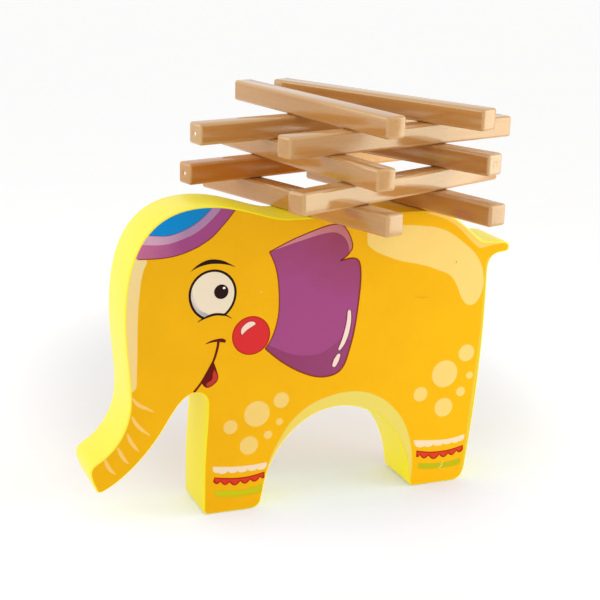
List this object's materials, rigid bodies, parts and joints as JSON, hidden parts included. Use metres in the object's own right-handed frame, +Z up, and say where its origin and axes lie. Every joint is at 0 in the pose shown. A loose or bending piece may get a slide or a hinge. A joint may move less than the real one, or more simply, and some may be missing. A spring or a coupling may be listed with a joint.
{
  "type": "elephant balance game",
  "caption": "Flat wooden elephant standing on two feet, printed on its faces, with loose square sticks laid criss-cross in layers on its back as a balancing game.",
  "frame": {"origin": "bottom centre of the box of the whole set as stacked, on the plane that the two feet stand on", "axes": "+X from the trunk to the tail, -Y out of the printed front face, +Z up"},
  "size_m": [0.1484, 0.1015, 0.1321],
  "materials": {
    "painted_slab": "lemon yellow paint on wood, satin gloss, eased edges",
    "printed_film": "amber printed film with coloured motifs, smooth gloss",
    "lacquered_wood": "clear lacquer on pale close-grained wood, eased edges"
  },
  "bodies": {
    "elephant": {"elephant": "painted_slab", "front_print": "printed_film", "rear_print": "printed_film"},
    "stick_1a": {"stick_1a": "lacquered_wood"},
    "stick_1b": {"stick_1b": "lacquered_wood"},
    "stick_2a": {"stick_2a": "lacquered_wood"},
    "stick_2b": {"stick_2b": "lacquered_wood"},
    "stick_3a": {"stick_3a": "lacquered_wood"},
    "stick_3b": {"stick_3b": "lacquered_wood"},
    "stick_4a": {"stick_4a": "lacquered_wood"},
    "stick_4b": {"stick_4b": "lacquered_wood"},
    "stick_5a": {"stick_5a": "lacquered_wood"},
    "stick_5b": {"stick_5b": "lacquered_wood"}
  },
  "joints": [
    {"name": "lift_stick_1a", "type": "slide", "parent": "elephant", "child": "stick_1a", "axis": [0, 0, 1], "range_m": [0, 0.02]},
    {"name": "lift_stick_1b", "type": "slide", "parent": "stick_1a", "child": "stick_1b", "axis": [0, 0, 1], "range_m": [0, 0.02]},
    {"name": "lift_stick_2a", "type": "slide", "parent": "stick_1b", "child": "stick_2a", "axis": [0, 0, 1], "range_m": [0, 0.02]},
    {"name": "lift_stick_2b", "type": "slide", "parent": "stick_2a", "child": "stick_2b", "axis": [0, 0, 1], "range_m": [0, 0.02]},
    {"name": "lift_stick_3a", "type": "slide", "parent": "stick_2b", "child": "stick_3a", "axis": [0, 0, 1], "range_m": [0, 0.02]},
    {"name": "lift_stick_3b", "type": "slide", "parent": "stick_3a", "child": "stick_3b", "axis": [0, 0, 1], "range_m": [0, 0.02]},
    {"name": "lift_stick_4a", "type": "slide", "parent": "stick_3b", "child": "stick_4a", "axis": [0, 0, 1], "range_m": [0, 0.02]},
    {"name": "lift_stick_4b", "type": "slide", "parent": "stick_4a", "child": "stick_4b", "axis": [0, 0, 1], "range_m": [0, 0.02]},
    {"name": "lift_stick_5a", "type": "slide", "parent": "stick_4b", "child": "stick_5a", "axis": [0, 0, 1], "range_m": [0, 0.02]},
    {"name": "lift_stick_5b", "type": "slide", "parent": "stick_5a", "child": "stick_5b", "axis": [0, 0, 1], "range_m": [0, 0.02]}
  ]
}
